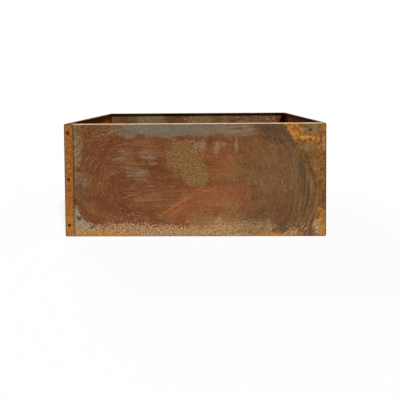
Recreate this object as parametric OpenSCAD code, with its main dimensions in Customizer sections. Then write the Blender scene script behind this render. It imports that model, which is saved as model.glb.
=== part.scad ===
// Flat-pack planter box in weathering steel.
// Four folded sheet panels close into a box. Each panel has a corner flange at its right-hand end, seen
// from outside, which laps the outside of the next panel and is bolted to it, so the four go round like
// a pinwheel. Their tops are folded in as a rim and their bottoms as a foot flange that carries the base.
// Millimetres. Origin on the ground under the middle of the box, +X to the right, +Y to the back, +Z up.

/* [Overall size] */
// Outside length of the box, left to right, over the corner flanges
box_length = 920; // [500:10:1400]
// Outside depth of the box, front to back, over the corner flanges
box_depth = 610; // [400:10:1200]
// Height from the ground to the top of the rim
box_height = 400; // [250:10:800]

/* [Sheet] */
// Thickness of the steel sheet
sheet = 2; // [1.5:0.1:2.5]
// Radius on the inside of each fold
fold_inner_r = 2; // [1.5:0.1:3]
// Clearance between two cut edges that face each other
edge_gap = 0.5; // [0.3:0.1:1]

/* [Folds] */
// Width of the rim, from the panel's outside face to the cut edge
rim_w = 15; // [12:1:25]
// Width of the foot flange, from the panel's outside face to the cut edge
foot_w = 30; // [20:1:60]
// Width of the corner flange that laps the next panel
flange_w = 30; // [26:1:40]

/* [Fasteners] */
// Distance of each screw from the outside corner of the panel it passes through
screw_inset = 15; // [13:0.5:16]
// Height of the lowest screw above the ground
screw_low_z = 42; // [30:1:60]
// Height of the highest screw below the rim
screw_below_rim = 32; // [28:1:60]
// Number of screws in each corner
screws_per_corner = 3; // [2:1:5]

/* [Base] */
// Clearance between the base panel's edge and the inside of each wall
base_clearance = 3; // [2.5:0.5:6]
// Diameter of each drain hole
drain_d = 16; // [10:1:25]
// Number of drain holes along the length
drains_along = 4; // [2:1:6]
// Number of drain holes across the depth
drains_across = 2; // [1:1:3]

/* [Hidden] */
$fn = 64;
EPS = 0.01;
fold_r = fold_inner_r + sheet;          // radius on the outside of each fold
flange_relief = fold_r;                 // corner flanges stop short of the folds at top and bottom

// M6 hexagon-socket button-head screw, plain washer and nut
thread_d = 6;
hole_d = 6.6;
screw_length = 12;
head_d = 10.5;
head_h = 3.3;
head_flat_d = 5.2;                      // flat ring left round the socket
socket_flats = 4;
socket_depth = 2.1;
washer_d = 12;
washer_h = 1.6;
nut_flats = 10;
nut_h = 5;
dome_below_seat = (head_d * head_d / 4 - head_flat_d * head_flat_d / 4 - head_h * head_h) / (2 * head_h);
dome_r = sqrt(head_d * head_d / 4 + dome_below_seat * dome_below_seat);

screw_step = (box_height - screw_below_rim - screw_low_z) / (screws_per_corner - 1);
screw_heights = [for (i = [0 : screws_per_corner - 1]) screw_low_z + i * screw_step];

RUST = "sienna";
DARK_RUST = "saddlebrown";
FASTENER = "dimgray";

// Quarter ring of one fold, centred on the origin and lying in the x < 0, y < 0 quarter
module fold_arc() {
    intersection() {
        difference() {
            circle(r = fold_r);
            circle(r = fold_inner_r);
        }
        translate([-fold_r, -fold_r]) square(fold_r);
    }
}

// Section through a panel: x is the distance in from its outside face, y is the height
module wall_section() {
    translate([0, fold_r]) square([sheet, box_height - 2 * fold_r]);
    translate([fold_r, fold_r]) fold_arc();
    translate([fold_r, 0]) square([foot_w - fold_r, sheet]);
    translate([fold_r, box_height - fold_r]) mirror([0, 1]) fold_arc();
    translate([fold_r, box_height - sheet]) square([rim_w - fold_r, sheet]);
}

// Plan of the corner flange: it leaves the wall along x, folds, and runs back along +y
module flange_plan() {
    translate([-flange_w, 0]) square([flange_w - fold_r, sheet]);
    translate([-fold_r, fold_r]) mirror([1, 0]) fold_arc();
    translate([-sheet, fold_r]) square([sheet, flange_w - fold_r]);
}

// Plan of the wall with both ends mitred, so that the rims and foot flanges meet on the diagonals
module mitre_plan(span) {
    end_x = span / 2 - sheet - edge_gap;
    polygon([[-end_x, 0], [end_x, 0], [end_x - foot_w, foot_w], [-end_x + foot_w, foot_w]]);
}

// Holes for one corner's screws, drilled along +y through the origin plane
module screw_holes() {
    for (z = screw_heights)
        translate([0, -EPS, z]) rotate([-90, 0, 0]) cylinder(d = hole_d, h = sheet + 2 * EPS);
}

// One panel facing -y. span is the box's size along the panel, across is its size the other way
module panel(span, across) {
    left_end = -span / 2 + 2 * sheet + edge_gap;
    right_end = span / 2 - fold_r;
    translate([0, -across / 2 + sheet, 0])
        difference() {
            union() {
                intersection() {
                    translate([left_end, 0, 0]) rotate([90, 0, 90])
                        linear_extrude(right_end - left_end) wall_section();
                    linear_extrude(box_height) mitre_plan(span);
                }
                translate([span / 2, 0, flange_relief])
                    linear_extrude(box_height - 2 * flange_relief) flange_plan();
            }
            translate([-span / 2 + sheet + screw_inset, 0, 0]) screw_holes();
            translate([span / 2, screw_inset, 0]) rotate([0, 0, 90]) screw_holes();
        }
}

// Places one corner's fasteners: the screw axes run along +y and the heads sit on the plane y = 0
module corner(span, across) {
    for (z = screw_heights)
        translate([-span / 2 + sheet + screw_inset, -across / 2, z]) rotate([-90, 0, 0]) children();
}

// Button-head screw along +z, with its head below z = 0
module screw() {
    difference() {
        union() {
            intersection() {
                translate([0, 0, dome_below_seat]) sphere(r = dome_r);
                translate([0, 0, -head_h]) cylinder(d = head_d, h = head_h);
            }
            cylinder(d = thread_d, h = screw_length);
        }
        translate([0, 0, -head_h - EPS])
            cylinder(d = socket_flats / cos(30), h = socket_depth + EPS, $fn = 6);
    }
}

module washer() {
    difference() {
        cylinder(d = washer_d, h = washer_h);
        translate([0, 0, -EPS]) cylinder(d = thread_d + 0.4, h = washer_h + 2 * EPS);
    }
}

module nut() {
    difference() {
        cylinder(d = nut_flats / cos(30), h = nut_h, $fn = 6);
        translate([0, 0, -EPS]) cylinder(d = thread_d, h = nut_h + 2 * EPS);
    }
}

module screw_group(span, across) { color(FASTENER) corner(span, across) screw(); }
module washer_group(span, across) {
    color(FASTENER) corner(span, across) translate([0, 0, 2 * sheet]) washer();
}
module nut_group(span, across) {
    color(FASTENER) corner(span, across) translate([0, 0, 2 * sheet + washer_h]) nut();
}

module front_panel() { color(RUST) panel(box_length, box_depth); }
module right_panel() { color(RUST) rotate([0, 0, 90]) panel(box_depth, box_length); }
module back_panel() { color(RUST) rotate([0, 0, 180]) panel(box_length, box_depth); }
module left_panel() { color(RUST) rotate([0, 0, 270]) panel(box_depth, box_length); }

// Loose base sheet that lies on the four foot flanges and lets water out through its drain holes
module base_panel() {
    base_x = box_length - 4 * sheet - 2 * base_clearance;
    base_y = box_depth - 4 * sheet - 2 * base_clearance;
    color(DARK_RUST) translate([0, 0, sheet])
        difference() {
            translate([-base_x / 2, -base_y / 2, 0]) cube([base_x, base_y, sheet]);
            for (i = [0 : drains_along - 1], j = [0 : drains_across - 1])
                translate([(i + 0.5 - drains_along / 2) * base_x / drains_along,
                           (j + 0.5 - drains_across / 2) * base_y / drains_across, -EPS])
                    cylinder(d = drain_d, h = sheet + 2 * EPS);
        }
}

module front_left_screws() { screw_group(box_length, box_depth); }
module front_right_screws() { rotate([0, 0, 90]) screw_group(box_depth, box_length); }
module back_right_screws() { rotate([0, 0, 180]) screw_group(box_length, box_depth); }
module back_left_screws() { rotate([0, 0, 270]) screw_group(box_depth, box_length); }

module front_left_washers() { washer_group(box_length, box_depth); }
module front_right_washers() { rotate([0, 0, 90]) washer_group(box_depth, box_length); }
module back_right_washers() { rotate([0, 0, 180]) washer_group(box_length, box_depth); }
module back_left_washers() { rotate([0, 0, 270]) washer_group(box_depth, box_length); }

module front_left_nuts() { nut_group(box_length, box_depth); }
module front_right_nuts() { rotate([0, 0, 90]) nut_group(box_depth, box_length); }
module back_right_nuts() { rotate([0, 0, 180]) nut_group(box_length, box_depth); }
module back_left_nuts() { rotate([0, 0, 270]) nut_group(box_depth, box_length); }

front_panel();
right_panel();
back_panel();
left_panel();
base_panel();
front_left_screws();
front_right_screws();
back_right_screws();
back_left_screws();
front_left_washers();
front_right_washers();
back_right_washers();
back_left_washers();
front_left_nuts();
front_right_nuts();
back_right_nuts();
back_left_nuts();
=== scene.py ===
"""Looks of the flat-pack planter box: weathering steel with mill scale, rust films, wipe marks and scratches.

Every panel is painted in its own panel space, in metres: along runs to the right from the visible left
edge as seen from outside, depth runs inward from the outside face, and height runs up from the ground.
"""
import math

import bpy
from mathutils import Matrix, Vector


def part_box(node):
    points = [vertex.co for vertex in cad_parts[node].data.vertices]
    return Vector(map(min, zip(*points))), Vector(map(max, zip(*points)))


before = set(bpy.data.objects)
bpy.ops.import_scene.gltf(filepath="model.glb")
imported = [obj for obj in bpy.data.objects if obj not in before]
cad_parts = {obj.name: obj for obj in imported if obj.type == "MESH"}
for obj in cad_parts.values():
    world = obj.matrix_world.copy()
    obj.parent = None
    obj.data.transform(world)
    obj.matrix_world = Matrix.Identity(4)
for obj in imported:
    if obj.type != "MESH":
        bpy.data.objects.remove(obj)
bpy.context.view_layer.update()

SHEET = 0.002            # sheet thickness
FLANGE = 0.030           # width of the corner flanges
LENGTH = 2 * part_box("front_panel")[1].x
DEPTH = 2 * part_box("right_panel")[1].y
RIM_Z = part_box("front_panel")[1].z
FRONT_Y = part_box("front_panel")[0].y

# The rubbed field's lower left corner is rounded: the middle of its arc, along and height, and its radius
FIELD_CORNER = 0.140, 0.150
FIELD_CORNER_R = 0.114


def rgb(red, green, blue):
    """A display colour, 0 to 255 a channel, as linear light with alpha."""
    channels = [c / 255 for c in (red, green, blue)]
    linear = [c / 12.92 if c <= 0.04045 else ((c + 0.055) / 1.055) ** 2.4 for c in channels]
    return (*linear, 1.0)


# ---------------------------------------------------------------- node graphs

class Graph:
    """One node material under construction. Any value may be a number, a tuple or another node's output."""

    def __init__(self, name):
        self.material = bpy.data.materials.new(name)
        self.material.use_nodes = True
        self.tree = self.material.node_tree
        self.tree.nodes.clear()

    def node(self, kind, inputs=(), **settings):
        node = self.tree.nodes.new(kind)
        for name, value in settings.items():
            setattr(node, name, value)
        for key, value in dict(inputs).items():
            if isinstance(value, bpy.types.NodeSocket):
                self.tree.links.new(value, node.inputs[key])
            else:
                node.inputs[key].default_value = value
        return node

    def math(self, operation, *values):
        return self.node("ShaderNodeMath", enumerate(values), operation=operation).outputs[0]

    def add(self, a, b):
        return self.math("ADD", a, b)

    def sub(self, a, b):
        return self.math("SUBTRACT", a, b)

    def mul(self, a, b):
        return self.math("MULTIPLY", a, b)

    def highest(self, a, b):
        return self.math("MAXIMUM", a, b)

    def blend_sum(self, *parts):
        """Sum of (weight, value) parts."""
        *others, (weight, value) = parts
        total = self.mul(value, weight)
        for weight, value in reversed(others):
            total = self.add(self.mul(value, weight), total)
        return total

    def step(self, value, low, high, top=1.0):
        """0 below low, top above high and a smooth rise between; low may be above high."""
        return self.node("ShaderNodeMapRange", {0: value, 1: low, 2: high, 3: 0.0, 4: top},
                         interpolation_type="SMOOTHSTEP").outputs[0]

    def scale(self, value, low, high, to_low=0.0, to_high=1.0):
        """A straight rise from to_low at low to to_high at high, level beyond them."""
        return self.node("ShaderNodeMapRange", {0: value, 1: low, 2: high, 3: to_low, 4: to_high}).outputs[0]

    def point(self, x, y, z=0.0):
        return self.node("ShaderNodeCombineXYZ", {0: x, 1: y, 2: z}).outputs[0]

    def split(self, vector):
        return self.node("ShaderNodeSeparateXYZ", {0: vector}).outputs[:3]

    def vector(self, operation, a, b=None, output=0):
        inputs = {0: a} if b is None else {0: a, 1: b}
        return self.node("ShaderNodeVectorMath", inputs, operation=operation).outputs[output]

    def distance(self, x, y):
        return self.vector("LENGTH", self.point(x, y), output="Value")

    def noise(self, vector, scale, detail, roughness, distortion=0.0):
        """Grey noise around 0.5, with scale features to the metre."""
        inputs = {"Vector": vector, "Scale": scale, "Detail": detail, "Roughness": roughness,
                  "Distortion": distortion}
        return self.node("ShaderNodeTexNoise", inputs).outputs[0]

    def mix(self, factor, a, b, blend="MIX"):
        """Mixes two colours."""
        return self.node("ShaderNodeMix", {0: factor, 6: a, 7: b}, data_type="RGBA", blend_type=blend,
                         clamp_factor=True).outputs[2]

    def mix_numbers(self, factor, a, b):
        return self.node("ShaderNodeMix", {0: factor, 2: a, 3: b}, data_type="FLOAT",
                         clamp_factor=True).outputs[0]

    def finish(self, colour, roughness, height, relief, distance):
        bump = self.node("ShaderNodeBump", {"Strength": relief, "Distance": distance, "Height": height})
        shader = self.node("ShaderNodeBsdfPrincipled", {
            "Base Color": colour, "Roughness": roughness, "Normal": bump.outputs[0], "Metallic": 0.0,
            "Specular IOR Level": 0.12})
        self.node("ShaderNodeOutputMaterial", {"Surface": shader.outputs[0]})
        return self.material


# ---------------------------------------------------------------- weathering steel

# Display colours of each look, darker and lighter
RED_FILM = rgb(91, 46, 19), rgb(130, 79, 43)
OLIVE_FILM = rgb(95, 64, 34), rgb(132, 94, 57)
WARM = rgb(124, 70, 36), rgb(154, 96, 56)
UMBER = rgb(79, 52, 29), rgb(131, 94, 59)
MILL_SCALE = rgb(106, 88, 68), rgb(132, 114, 92)
BLUE_SCALE = rgb(106, 97, 80), rgb(120, 109, 90)
SMEAR = rgb(112, 86, 60), rgb(146, 124, 96)
PALE = rgb(98, 75, 50), rgb(162, 132, 98)
PALEST = rgb(104, 88, 67), rgb(182, 162, 136)
TAN = rgb(84, 56, 30), rgb(210, 165, 117)
PINK = rgb(142, 92, 66), rgb(220, 178, 150)
GRAIN = rgb(70, 45, 20), rgb(162, 121, 73)
ORANGE = rgb(122, 70, 24), rgb(212, 144, 66)
AMBER = rgb(80, 48, 18), rgb(136, 90, 39)
TAN_GREY = rgb(112, 80, 44), rgb(154, 120, 80)
DARK = rgb(36, 29, 18), rgb(88, 72, 48)
STAIN = rgb(18, 12, 6), rgb(104, 81, 54)
DRAB = rgb(106, 88, 58), rgb(150, 126, 90)
LINED = rgb(90, 70, 46), rgb(158, 134, 104)
FOOT_EDGE = rgb(134, 78, 20), rgb(222, 150, 58)
SMUDGE = rgb(120, 90, 60), rgb(162, 134, 102)
ARCS = rgb(63, 40, 20), rgb(138, 103, 66)
STREAKS = rgb(92, 50, 25), rgb(142, 94, 60)
SCRATCH = rgb(168, 84, 28), rgb(206, 116, 44)
FLANGE_RUST = rgb(80, 40, 10), rgb(192, 120, 52)
# Rubbed steel and painted highlight on the rim's fold
RIM_WEAR_AND_HIGHLIGHT = rgb(214, 184, 146), rgb(255, 236, 202)
SPECK = rgb(196, 152, 120)
# Painted shade for the foot's fold and for the creases
FOOT_FOLD_SHADE = rgb(60, 32, 10), rgb(150, 90, 34)
CREASE_SHADE = rgb(66, 36, 15)


class PanelSteel(Graph):
    """The weathering steel of one panel of the given span; turn is the panel's angle about Z from the front.

    across is the box's size square to the panel, and wipe holds the left end, right end, height and reach of
    the rubbed field.
    """

    def __init__(self, name, turn, span, across, seed, wipe):
        super().__init__(name)
        self.span = span
        self.seed = seed
        self.left_end, self.right_end, self.middle, self.reach = wipe
        self.find_place(turn, across)
        self.make_noises()
        self.make_strokes()
        self.make_looks()

    def find_place(self, turn, across):
        """Turns the panel to the front, then measures from its visible left edge and its outside face."""
        coordinates = self.node("ShaderNodeTexCoord").outputs
        rotation = 0.0, 0.0, -turn
        placed = self.node("ShaderNodeMapping", {
            "Vector": coordinates["Object"], "Rotation": rotation,
            "Location": (self.span / 2 - SHEET, across / 2 - SHEET, 0.0)})
        facing = self.node("ShaderNodeMapping", {"Vector": coordinates["Normal"], "Rotation": rotation})
        self.along, depth, self.height = self.split(placed.outputs[0])
        self.right, self.inward, self.up = self.split(facing.outputs[0])
        # The flange folds back along depth, so the sheet is unrolled: patterns then run round its corner
        self.unrolled = self.add(self.along, self.mul(self.step(self.right, 0.3, 0.7), depth))

    def make_noises(self):
        """Noises that every look shares, coarse to fine, and the places that patches are laid at."""
        solid = self.point(self.add(self.unrolled, self.seed), self.height, self.mul(self.inward, 0.7))
        self.broad = self.noise(solid, 5, 3, 0.6)
        self.clouds = self.noise(solid, 18, 4, 0.62, 0.4)
        self.ragged = self.sub(self.noise(solid, 40, 6, 0.72, 0.5), 0.5)
        self.mottle = self.noise(solid, 70, 4, 0.65)
        self.grit = self.noise(solid, 150, 3, 0.7)
        self.dust = self.noise(solid, 270, 2, 0.6)
        self.steady = self.point(self.unrolled, self.height, 1.0)
        drift = self.point(*(self.mul(self.sub(noise, 0.5), 0.05) for noise in (self.clouds, self.broad)))
        self.wandering = self.vector("ADD", self.steady, drift)

    def make_strokes(self):
        """Wipe strokes, which run level in the middle of the field and curve round at both ends."""
        beyond = self.add(self.highest(self.sub(self.unrolled, self.right_end), 0.0),
                          self.highest(self.sub(self.left_end, self.unrolled), 0.0))
        self.sweep = self.distance(beyond, self.sub(self.height, self.middle))
        self.wavy = self.add(self.sweep, self.mul(self.clouds, 0.012))
        self.strokes = self.noise(self.drawn_out(190, 9), 1, 3, 0.65)
        self.hairs = self.noise(self.drawn_out(330, 28), 1, 2, 0.6)
        self.rings = self.noise(self.drawn_out(380, 12), 1, 2, 0.6)
        level_place = self.point(self.mul(self.unrolled, 14), self.mul(self.height, 320), self.seed)
        self.level = self.noise(level_place, 1, 2, 0.6)

    def drawn_out(self, fine, long):
        """A place for noise with fine features to the metre across the strokes and long ones along them."""
        return self.point(self.mul(self.wavy, fine), self.mul(self.unrolled, long),
                          self.add(self.mul(self.height, long), self.seed))

    def tone(self, low, high, *parts):
        """How far a look is from its dark colour to its light one, from noise as (weight, noise) parts."""
        return self.scale(self.blend_sum(*parts), low, high)

    def make_looks(self):
        clouds, mottle, grit, dust = self.clouds, self.mottle, self.grit, self.dust
        film = self.tone(0.81, 1.25, (0.5, clouds), (0.45, mottle), (0.4, self.strokes), (0.7, grit))
        self.coarse = self.tone(0.38, 0.62, (0.5, grit), (0.5, dust))
        fine = self.tone(0.41, 0.59, (0.35, grit), (0.65, dust))
        self.soft = self.tone(0.35, 0.65, (0.65, clouds), (0.35, self.strokes))
        self.blotches = self.tone(0.4, 0.62, (0.6, mottle), (0.4, grit))
        stroked = self.tone(0.36, 0.64, (1.0, self.strokes))
        ringed = self.tone(0.4, 0.6, (0.25, self.strokes), (0.75, self.rings))
        level = self.tone(0.36, 0.64, (1.0, self.level))
        # How a look covers its patches
        whole = 1.0
        streaky = self.step(self.blend_sum((1.0, self.strokes), (0.5, self.ragged)), 0.42, 0.58)
        clumped = self.step(self.blend_sum((0.35, mottle), (0.3, grit), (0.35, dust)), 0.42, 0.53)
        flecked = self.step(self.blend_sum((0.7, grit), (0.3, self.hairs)), 0.52, 0.6)
        # Dark and light colours, the tone between them, roughness, relief and cover
        self.looks = {
            "olive": (OLIVE_FILM, film, 0.62, 0.35, whole),
            "warm": (WARM, film, 0.62, 0.35, whole),
            "scale": (MILL_SCALE, self.soft, 0.46, 0.1, whole),
            "blue": (BLUE_SCALE, self.soft, 0.42, 0.1, whole),
            "smear": (SMEAR, self.coarse, 0.5, 0.15, streaky),
            "pale": (PALE, self.blotches, 0.66, 0.5, whole),
            "palest": (PALEST, self.coarse, 0.7, 0.6, whole),
            "amber": (AMBER, self.blotches, 0.8, 0.6, whole),
            "orange": (ORANGE, self.blotches, 0.86, 0.8, whole),
            "edge": (FOOT_EDGE, self.coarse, 0.86, 0.8, whole),
            "tan_grey": (TAN_GREY, self.blotches, 0.7, 0.4, whole),
            "tan": (TAN, fine, 0.82, 1.0, whole),
            "grain": (GRAIN, self.coarse, 0.85, 1.0, whole),
            "arcs": (ARCS, ringed, 0.6, 0.4, whole),
            "umber": (UMBER, film, 0.62, 0.35, whole),
            "streaks": (STREAKS, stroked, 0.6, 0.4, streaky),
            "pink": (PINK, self.coarse, 0.7, 0.6, flecked),
            "dark": (DARK, self.blotches, 0.6, 0.4, whole),
            "stain": (STAIN, fine, 0.6, 0.4, clumped),
            "drab": (DRAB, self.blotches, 0.6, 0.3, whole),
            "lined": (LINED, level, 0.55, 0.2, whole),
            "smudge": (SMUDGE, self.coarse, 0.55, 0.2, whole),
            "scratch": (SCRATCH, self.coarse, 0.7, 0.3, whole),
        }
        # The bare rust film is red-brown with an olive share
        olive_share = self.step(self.blend_sum((1.0, clouds), (0.4, self.ragged)), 0.5, 0.68, top=0.45)
        film_dark, film_light = (self.mix(olive_share, *pair) for pair in zip(RED_FILM, OLIVE_FILM))
        self.bare = film_dark, film_light, film, self.scale(grit, 0.3, 0.7, 0.55, 0.7), 0.35

    def patch(self, place, along, height, half_w, half_h, tilt, rag, soft, strength=1.0):
        """Mask of one ragged oval patch, in millimetres; place is (along, height, 1) in metres."""
        cos, sin = math.cos(math.radians(tilt)), math.sin(math.radians(tilt))
        squares = 0.0
        for x, y, half in ((cos, sin, half_w), (-sin, cos, half_h)):
            # Distance from the centre along one axis, in half sizes
            axis = 1000 * x / half, 1000 * y / half, -(x * along + y * height) / half
            reach = self.vector("DOT_PRODUCT", place, axis, output="Value")
            squares = self.math("MULTIPLY_ADD", reach, reach, squares)
        radius = self.math("MULTIPLY_ADD", self.ragged, rag, self.math("SQRT", squares))
        return self.step(radius, 1 + soft, 1 - soft, top=strength)

    def lay(self, mask, under, over):
        """One surface over another; a surface is its dark and light colours, tone, roughness and relief."""
        colours = [self.mix(mask, *pair) for pair in zip(under[:2], over[:2])]
        numbers = [self.mix_numbers(mask, *pair) for pair in zip(under[2:], over[2:])]
        return (*colours, *numbers)

    def paint(self, surface, patches):
        """Lays each look's patches over the surface, in the order the looks first appear."""
        for look in dict.fromkeys(name for name, *_ in patches):
            pair, tone, roughness, relief, cover = self.looks[look]
            place = self.steady if look in ("scratch", "dark", "edge") else self.wandering
            mask = 0.0
            for name, *shape in patches:
                if name == look:
                    mask = self.highest(mask, self.patch(place, *shape))
            if look in ("grain", "tan", "stain", "palest"):     # granular looks break up at their edges
                mask = self.step(self.add(mask, self.mul(self.sub(self.coarse, 0.5), 0.7)), 0.3, 0.75)
            surface = self.lay(self.mul(mask, cover), surface, (*pair, tone, roughness, relief))
        return surface

    def outer_face(self, outside, wiped):
        """Amber rust with its patches, and over it the rubbed field with its own."""
        around = self.paint((*AMBER, self.blotches, 0.8, 0.6), outside)
        corner = self.distance(self.highest(self.sub(FIELD_CORNER[0], self.unrolled), 0.0),
                               self.highest(self.sub(FIELD_CORNER[1], self.height), 0.0))
        uneven = self.add(self.mul(self.ragged, 0.09), self.mul(self.sub(self.grit, 0.5), 0.05))
        in_reach = self.step(self.blend_sum((1.0, self.sweep), (0.02, self.ragged)),
                             self.reach + 0.005, self.reach - 0.005)
        in_corner = self.step(self.add(corner, uneven), FIELD_CORNER_R + 0.01, FIELD_CORNER_R - 0.01)
        return self.lay(self.mul(in_reach, in_corner), around, self.paint(self.bare, wiped))

    def speckle(self, colour):
        """Pale specks, dashes at the left end that follow the strokes, and hairlines lighter and darker."""
        cells = self.node("ShaderNodeTexVoronoi", {"Vector": self.drawn_out(1.0, 0.6), "Scale": 125}).outputs
        chosen = self.node("ShaderNodeSeparateColor", {0: cells["Color"]}).outputs[0]
        near = self.add(cells["Distance"], self.mul(self.ragged, 0.3))
        specks = self.mul(self.mul(self.step(near, 0.3, 0.16), self.step(chosen, 0.7, 0.74)),
                          self.step(self.clouds, 0.44, 0.56, top=0.3))
        left_zone = self.patch(self.wandering, self.left_end * 1000 - 55, 225, 120, 160, 0, 1.4, 0.6)
        broken = self.add(self.hairs, self.mul(self.sub(self.grit, 0.5), 0.9))
        dashes = self.mul(self.step(broken, 0.6, 0.72, top=0.2), left_zone)
        for mask in (specks, dashes, self.step(self.hairs, 0.6, 0.68, top=0.15)):
            colour = self.mix(mask, colour, SPECK)
        return self.mix(self.step(self.hairs, 0.4, 0.32, top=0.35), colour, DARK[0])

    def rust_and_shade_flange(self, colour, roughness):
        """The corner flange is rusted through to orange, brightest near the ground; painted shade darkens its
        fold.
        """
        tone = self.tone(0.38, 0.62, (0.3, self.mottle), (0.4, self.grit), (0.3, self.dust))
        rust = self.mix(self.step(self.height, 0.14, 0.03, top=0.6), self.mix(tone, *FLANGE_RUST),
                        self.mix(tone, *ORANGE))
        is_flange = self.step(self.right, 0.35, 0.75)
        colour = self.mix(is_flange, colour, rust)
        # Painted shade: the fold between the outer face and the flange is darkened
        fold = self.mul(self.step(self.right, 0.2, 0.5), self.step(self.right, 0.995, 0.9))
        fold = self.mul(fold, self.step(self.inward, 0.0, -0.1, top=0.85))
        return self.mix(fold, colour, DARK[0]), self.mix_numbers(is_flange, roughness, 0.84)

    def paint_crease_shade(self, colour):
        """Rust-coloured painted shade along the foot's downward-facing fold, in the seam beside the next
        flange and at the far end's fold.
        """
        # Painted shade where the foot's fold faces down
        foot_fold_shade = self.mul(self.step(self.up, -0.15, -0.5, top=0.7), self.step(self.inward, -0.1, -0.3))
        colour = self.mix(foot_fold_shade, colour, self.mix(self.blotches, *FOOT_FOLD_SHADE))
        # Painted shade in the seam beside the next flange and on the far end's fold
        from_seam = self.math("ABSOLUTE", self.sub(self.along, FLANGE + 1.5 * SHEET))
        crease_shade = self.highest(self.step(from_seam, 0.0026, 0.001, top=0.75),
                              self.step(self.along, self.span - 0.012, self.span - 0.003, top=0.45))
        return self.mix(self.mul(crease_shade, self.step(self.inward, 0.0, -0.3)), colour, CREASE_SHADE)

    def rub_and_highlight_rim(self, colour, roughness):
        """The rim's fold is painted bright, as rubbed steel and as a painted highlight, except at its ends.
        """
        # Painted highlight: the fold's face that turns up and out is lightened
        fold = self.mul(self.step(self.up, 0.12, 0.4), self.step(self.inward, -0.12, -0.4))
        ends = self.mul(self.step(self.along, 0.02, 0.045),
                        self.step(self.along, self.span + 0.01, self.span - 0.03))
        fold = self.mul(fold, ends)
        uneven = self.mul(fold, self.scale(self.clouds, 0.3, 0.6, 0.75, 1.0))
        return self.mix(uneven, colour, self.mix(self.soft, *RIM_WEAR_AND_HIGHLIGHT)), self.mix_numbers(fold, roughness, 0.42)

    def build(self, outside, wiped, inside, inside_light_tint):
        """Lists of patches: outside around the rubbed field, wiped on it and inside on the inner face.

        inside_light_tint multiplies the inner face's colours as painted light, unless it is None.
        """
        is_inside = self.step(self.inward, -0.2, 0.2)
        surface = self.lay(is_inside, self.outer_face(outside, wiped), self.paint(self.bare, inside))
        dark, light, tone, roughness, relief = surface
        colour = self.mix(tone, dark, light)
        # Painted light: the inner face is brightened and recoloured by the tint
        if inside_light_tint:
            colour = self.mix(is_inside, colour, (*inside_light_tint, 1.0), "MULTIPLY")
        colour, roughness = self.rust_and_shade_flange(self.speckle(colour), roughness)
        colour, roughness = self.rub_and_highlight_rim(self.paint_crease_shade(colour), roughness)
        bumps = self.blend_sum((0.7, self.grit), (0.3, self.dust))
        return self.finish(colour, roughness, bumps, relief, 0.0008)


# Patches in millimetres and degrees: look, along, height, half width, half height, tilt, raggedness,
# softness, strength

# Around the rubbed field of the front and back panels
LONG_AROUND = [
    # scoured steel at the far end, and pale steel beside the flange
    ("arcs", 862, 130, 34, 140, 0, 1.4, 0.5, 0.85),
    ("palest", 34, 10, 110, 105, 0, 1.0, 0.3, 0.95),
    # the granular band along the foot, and the marks in it
    ("tan", 300, 6, 330, 46, 0, 1.2, 0.4, 0.95),
    ("tan", 620, 10, 200, 44, 0, 1.6, 0.6, 0.9),
    ("pink", 345, 26, 40, 10, 0, 1.5, 0.6, 0.9),
    ("pink", 200, 30, 60, 12, 0, 1.5, 0.6, 0.6),
    ("tan_grey", 660, 26, 62, 14, 0, 2.4, 0.6, 0.8),
    ("stain", 758, 24, 32, 16, 0, 2.2, 0.5, 0.7),
    ("pink", 716, 10, 26, 8, 0, 1.6, 0.5, 0.9),
    ("pink", 812, 36, 70, 16, 0, 2.0, 0.6, 0.5),
    # orange rust beyond the last wipe, with its stains
    ("orange", 810, 374, 24, 46, 31, 1.4, 0.35, 0.9),
    ("orange", 852, 346, 42, 14, -6, 2.0, 0.45, 0.9),
    ("orange", 910, 350, 12, 60, 0, 2.0, 0.5, 0.85),
    ("orange", 892, 245, 24, 70, 0, 2.6, 0.8, 0.28),
    ("orange", 912, 48, 20, 58, 8, 1.6, 0.4, 0.95),
    ("tan_grey", 862, 382, 32, 22, 0, 1.6, 0.35, 0.9),
    ("tan_grey", 864, 316, 34, 16, 0, 1.6, 0.4, 0.9),
    ("tan", 886, 30, 22, 28, 0, 2.2, 0.6, 0.7),
    ("stain", 46, 66, 7, 10, 20, 1.6, 0.5, 0.9),
    ("stain", 92, 38, 14, 6, 30, 1.6, 0.5, 0.8),
    ("dark", 846, 388, 8, 4, -30, 1.2, 0.6, 0.85),
    ("dark", 860, 375, 5, 7, -40, 1.2, 0.6, 0.85),
    ("dark", 860, 341, 7, 4, -30, 1.2, 0.6, 0.85),
    # the foot's own edge
    ("edge", 150, 0, 130, 15, 0, 0.8, 0.25, 1.0),
    ("edge", 730, 2, 50, 11, 0, 2.0, 0.5, 0.7),
    ("edge", 914, 12, 14, 34, 0, 1.4, 0.5, 0.75),
    ("edge", 480, 0, 420, 4, 0, 1.5, 0.5, 0.5),
]
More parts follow.
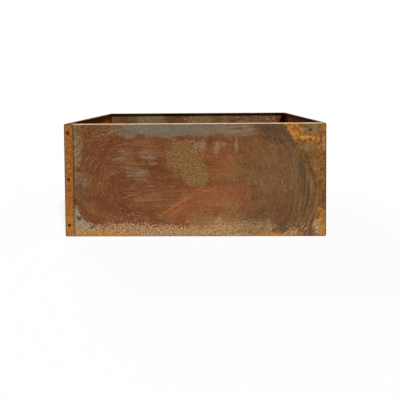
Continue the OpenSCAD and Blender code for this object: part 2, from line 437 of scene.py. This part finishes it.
# On the rubbed field of both
LONG_WIPED = [
    # broad areas of the rust film, and loose granular rust
    ("pale", 28, 396, 36, 158, 0, 1.4, 0.25, 0.95),
    ("amber", 88, 378, 52, 34, 0, 1.8, 0.5, 0.7),
    ("pale", 36, 187, 44, 48, 0, 1.8, 0.3, 0.6),
    ("tan", 280, 34, 170, 20, 0, 3.0, 0.6, 0.5),
    ("pink", 230, 62, 90, 22, 0, 2.0, 0.6, 0.25),
    ("tan", 560, 42, 120, 34, 0, 3.0, 0.6, 0.8),
    ("umber", 858, 170, 100, 210, 0, 1.2, 0.6, 0.9),
    ("umber", 705, 84, 100, 42, 0, 1.6, 0.6, 0.65),
    ("olive", 715, 220, 120, 105, 0, 1.6, 0.6, 0.95),
    ("warm", 500, 120, 150, 60, 12, 1.2, 0.5, 0.8),
    ("warm", 320, 130, 90, 40, 0, 1.2, 0.5, 0.25),
    ("warm", 548, 250, 62, 60, 0, 1.4, 0.6, 0.6),
    ("streaks", 295, 298, 85, 50, 0, 1.6, 0.7, 0.6),
    ("streaks", 300, 150, 90, 44, 0, 1.6, 0.7, 0.6),
    # grey mill scale under the rim, and two lined patches
    ("scale", 400, 402, 208, 52, 0, 1.0, 0.12, 0.95),
    ("scale", 222, 368, 40, 22, -8, 1.6, 0.3, 0.9),
    ("blue", 350, 398, 120, 44, 0, 1.0, 0.4, 0.8),
    ("pink", 150, 378, 50, 24, 20, 1.8, 0.6, 0.4),
    ("lined", 612, 380, 66, 26, 0, 1.6, 0.4, 0.8),
    ("lined", 672, 38, 66, 24, 0, 2.2, 0.6, 0.6),
    # granular rust
    ("grain", 420, 281, 60, 54, 0, 2.2, 0.5, 1.0),
]
# On the front panel alone
FRONT_WIPED = [
    # more granular rust
    ("grain", 456, 230, 56, 44, -38, 2.2, 0.5, 1.0),
    ("grain", 495, 60, 45, 36, 0, 2.2, 0.6, 0.62),
    ("grain", 585, 80, 48, 40, 0, 2.2, 0.6, 0.62),
    ("grain", 650, 215, 60, 90, 0, 2.4, 0.7, 0.22),
    # faint grey smears
    ("smear", 296, 274, 34, 20, -35, 1.6, 0.3, 0.9),
    ("smear", 250, 228, 46, 24, -24, 2.0, 0.5, 0.9),
    ("smear", 305, 132, 76, 14, -5, 2.4, 0.6, 0.5),
    ("smear", 160, 386, 44, 22, -10, 2.2, 0.6, 0.5),
    ("smear", 205, 286, 32, 16, 30, 2.2, 0.6, 0.7),
    # finger smudges
    ("smudge", 488, 322, 13, 19, 12, 1.4, 0.5, 0.7),
    ("smudge", 466, 322, 8, 19, -10, 1.4, 0.5, 0.6),
    ("smudge", 545, 315, 7, 22, -18, 1.0, 0.5, 0.7),
    ("smudge", 566, 329, 8, 8, 0, 1.0, 0.5, 0.7),
    ("smudge", 606, 328, 6, 24, 3, 1.0, 0.5, 0.7),
    # rubbed lines round the right end
    ("arcs", 846, 84, 60, 80, 0, 1.2, 0.6, 0.8),
    ("arcs", 826, 240, 44, 120, 8, 1.2, 0.7, 0.55),
    # stains and small dark marks, most of them towards the right
    ("stain", 729, 386, 66, 20, -4, 2.4, 0.5, 1.0),
    ("stain", 744, 347, 40, 19, -16, 2.4, 0.5, 1.0),
    ("stain", 790, 350, 10, 52, 31, 1.2, 0.5, 0.9),
    ("stain", 832, 246, 13, 38, 4, 2.0, 0.6, 1.0),
    ("stain", 838, 196, 15, 60, 4, 2.6, 0.7, 0.62),
    ("dark", 841, 187, 2.0, 40, 0, 0.4, 0.5, 0.7),
    ("stain", 50, 170, 22, 30, 20, 2.2, 0.5, 0.65),
    ("smudge", 712, 50, 12, 20, 10, 1.6, 0.5, 0.9),
    ("stain", 756, 34, 30, 13, 0, 2.2, 0.5, 0.7),
    ("dark", 665, 177, 24, 2.2, 0, 0.3, 0.5, 0.8),
    ("dark", 660, 133, 4, 4, 0, 0.3, 0.4, 0.9),
    ("dark", 636, 325, 3, 3, 0, 0.3, 0.4, 0.9),
    ("dark", 583, 149, 3, 3, 0, 0.3, 0.4, 0.7),
    ("dark", 296, 250, 3, 30, 24, 0.6, 0.5, 0.6),
    # scratches down to fresh rust
    ("scratch", 392, 112, 56, 2.4, 32, 0.8, 0.7, 0.75),
    ("scratch", 388, 84, 30, 1.8, 34, 0.8, 0.7, 0.65),
    ("scratch", 229, 145, 27, 1.6, 16, 0.5, 0.6, 0.6),
    ("scratch", 376, 177, 12, 1.6, 12, 2.0, 0.6, 0.6),
    ("scratch", 484, 163, 20, 1.7, 0, 0.5, 0.6, 0.7),
    ("scratch", 519, 168, 17, 1.7, 20, 0.5, 0.6, 0.7),
]
# On the inner face of the back panel
BACK_INSIDE = [
    ("drab", 722, 372, 94, 60, 0, 1.4, 0.2, 0.95),
    ("tan_grey", 385, 372, 80, 60, 0, 1.4, 0.2, 0.5),
    ("drab", 392, 372, 92, 60, 0, 1.2, 0.4, 0.95),
    ("drab", 905, 372, 50, 90, 0, 1.0, 0.3, 0.4),
    ("stain", 800, 372, 30, 60, 0, 1.4, 0.6, 0.6),
    ("stain", 570, 372, 40, 60, 0, 1.4, 0.6, 0.5),
    ("pink", 504, 368, 30, 26, 0, 1.4, 0.5, 0.95),
    ("pink", 160, 372, 110, 36, 0, 1.8, 0.6, 0.95),
    ("pink", 100, 372, 60, 40, 0, 1.4, 0.6, 0.95),
    ("stain", 872, 372, 34, 60, 0, 1.4, 0.6, 0.5),
    ("stain", 830, 372, 16, 50, 0, 1.4, 0.5, 0.6),
    ("pink", 826, 372, 10, 20, 0, 1.4, 0.5, 0.45),
    ("amber", 350, 372, 30, 40, 0, 1.4, 0.4, 0.7),
]
# The right and left panels
SHORT_AROUND = [
    ("palest", 34, 10, 90, 90, 0, 1.0, 0.3, 0.9),
    ("pale", 36, 250, 50, 150, 0, 0.8, 0.3, 0.9),
    ("tan", 300, 6, 280, 42, 0, 1.2, 0.4, 0.9),
    ("orange", 590, 330, 60, 90, 0, 1.4, 0.3, 0.9),
]
SHORT_WIPED = [
    ("scale", 300, 404, 220, 48, 0, 1.0, 0.15, 0.9),
    ("grain", 206, 214, 44, 60, 24, 2.6, 0.5, 0.85),
    ("grain", 262, 150, 54, 32, -24, 2.6, 0.5, 0.8),
    ("smear", 380, 240, 70, 30, 10, 2.0, 0.5, 0.9),
    ("stain", 470, 330, 50, 26, -30, 2.4, 0.5, 0.8),
    ("arcs", 520, 120, 60, 80, 0, 1.2, 0.6, 0.7),
]

# ---------------------------------------------------------------- dressing the model

def plain_rust(name, seed, dark, light, scale):
    """Close, dark rust for the base and the fasteners."""
    g = Graph(name)
    place = g.node("ShaderNodeTexCoord").outputs["Object"]
    solid = g.vector("ADD", place, (seed, seed, seed))
    clouds = g.noise(solid, 9 * scale, 4, 0.62, 0.4)
    grit = g.noise(solid, 120 * scale, 3, 0.65)
    tone = g.scale(g.blend_sum((0.6, clouds), (0.4, grit)), 0.36, 0.64)
    return g.finish(g.mix(tone, dark, light), g.scale(grit, 0.3, 0.7, 0.6, 0.85), grit, 0.8, 0.0004 / scale)


def dress(node, material):
    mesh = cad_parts[node].data
    mesh.materials.clear()
    mesh.materials.append(material)


def dress_long_panel(side, turn, seed, wiped, inside, inside_light_tint):
    steel = PanelSteel(side + "_steel", turn, LENGTH, DEPTH, seed, LONG_WIPE)
    dress(side + "_panel", steel.build(LONG_AROUND, wiped, inside, inside_light_tint))


def dress_short_panel(side, turn, seed, inside_light_tint):
    steel = PanelSteel(side + "_steel", turn, DEPTH, LENGTH, seed, SHORT_WIPE)
    dress(side + "_panel", steel.build(SHORT_AROUND, SHORT_WIPED, [], inside_light_tint))


# Left end, right end, height and reach of the rubbed fields
LONG_WIPE = 0.210, 0.532, 0.179, 0.316
SHORT_WIPE = 0.200, 0.300, 0.180, 0.250

# The inner faces are tinted brighter as painted light, their hue shifted too, so that each wall looks right
# in the shade of the box
dress_long_panel("front", 0.0, 0.0, LONG_WIPED + FRONT_WIPED, [], None)
dress_short_panel("right", math.pi / 2, 11.0, (2.3, 2.35, 2.8))
dress_long_panel("back", math.pi, 23.0, LONG_WIPED, BACK_INSIDE, (1.42, 1.5, 1.45))
dress_short_panel("left", -math.pi / 2, 37.0, (2.8, 2.25, 0.8))

dress("base_panel", plain_rust("base_steel", 3.0, rgb(58, 32, 16), rgb(104, 62, 32), 1.0))
fastener = plain_rust("fastener_steel", 5.0, rgb(40, 18, 8), rgb(86, 48, 26), 4.0)
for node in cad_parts:
    if node.endswith(("_screws", "_washers", "_nuts")):
        dress(node, fastener)


# ---------------------------------------------------------------- studio

def floor():
    """A pale floor that gives off some light of its own, so that it stays nearly white."""
    bpy.ops.mesh.primitive_plane_add(size=60, location=(0, 0, 0))
    plane = bpy.context.object
    plane.name = "studio_floor"
    g = Graph("studio_floor")
    diffuse = g.node("ShaderNodeBsdfDiffuse", {"Color": (0.31, 0.31, 0.31, 1)})
    glow = g.node("ShaderNodeEmission", {"Color": (1, 1, 1, 1), "Strength": 0.78})
    both = g.node("ShaderNodeAddShader", {0: diffuse.outputs[0], 1: glow.outputs[0]})
    g.node("ShaderNodeOutputMaterial", {"Surface": both.outputs[0]})
    plane.data.materials.append(g.material)


def sun(name, energy, azimuth, elevation, spread):
    """A sun lamp in degrees; azimuth runs from the front towards the camera's right."""
    azimuth, elevation = math.radians(azimuth), math.radians(elevation)
    towards = Vector((math.sin(azimuth) * math.cos(elevation), -math.cos(azimuth) * math.cos(elevation),
                      math.sin(elevation)))
    lamp = bpy.data.lights.new(name, "SUN")
    lamp.energy = energy
    lamp.angle = math.radians(spread)
    light = bpy.data.objects.new(name, lamp)
    light.rotation_euler = towards.to_track_quat("Z", "Y").to_euler()
    bpy.context.scene.collection.objects.link(light)


def backdrop():
    """White where the camera sees it, and a weak fill light for the object."""
    world = bpy.data.worlds.new("studio")
    world.use_nodes = True
    nodes, links = world.node_tree.nodes, world.node_tree.links
    nodes.clear()
    fill, white = (nodes.new("ShaderNodeBackground") for _ in range(2))
    for shader, strength in ((fill, 0.13), (white, 1.0)):
        shader.inputs[0].default_value = (1, 1, 1, 1)
        shader.inputs[1].default_value = strength
    seen = nodes.new("ShaderNodeLightPath")
    choose = nodes.new("ShaderNodeMixShader")
    output = nodes.new("ShaderNodeOutputWorld")
    links.new(seen.outputs["Is Camera Ray"], choose.inputs[0])
    links.new(fill.outputs[0], choose.inputs[1])
    links.new(white.outputs[0], choose.inputs[2])
    links.new(choose.outputs[0], output.inputs[0])
    bpy.context.scene.world = world


def camera():
    """A slightly turned view over the rim, framed low by a small lens shift."""
    data = bpy.data.cameras.new("camera")
    data.sensor_width = 36.0
    data.lens = 31.03
    data.shift_y = -0.245
    # 36 mm right of the middle, 1.2 m in front of the box and 106 mm above its rim
    eye = Vector((0.0360, FRONT_Y - 1.1996, RIM_Z + 0.1059))
    yaw, pitch, roll = (math.radians(a) for a in (-0.74, 1.53, -0.40))
    forward = Vector((math.sin(yaw) * math.cos(pitch), math.cos(yaw) * math.cos(pitch), -math.sin(pitch)))
    level = forward.cross(Vector((0, 0, 1))).normalized()
    upright = level.cross(forward)
    side = level * math.cos(roll) + upright * math.sin(roll)
    top = upright * math.cos(roll) - level * math.sin(roll)
    view = bpy.data.objects.new("camera", data)
    view.matrix_world = Matrix.Translation(eye) @ Matrix((side, top, -forward)).transposed().to_4x4()
    bpy.context.scene.collection.objects.link(view)
    bpy.context.scene.camera = view


floor()
sun("key_light", energy=2.2, azimuth=25, elevation=45, spread=6)
sun("back_light", energy=0.4, azimuth=215, elevation=35, spread=20)
backdrop()
camera()
bpy.context.scene.view_settings.view_transform = "Standard"
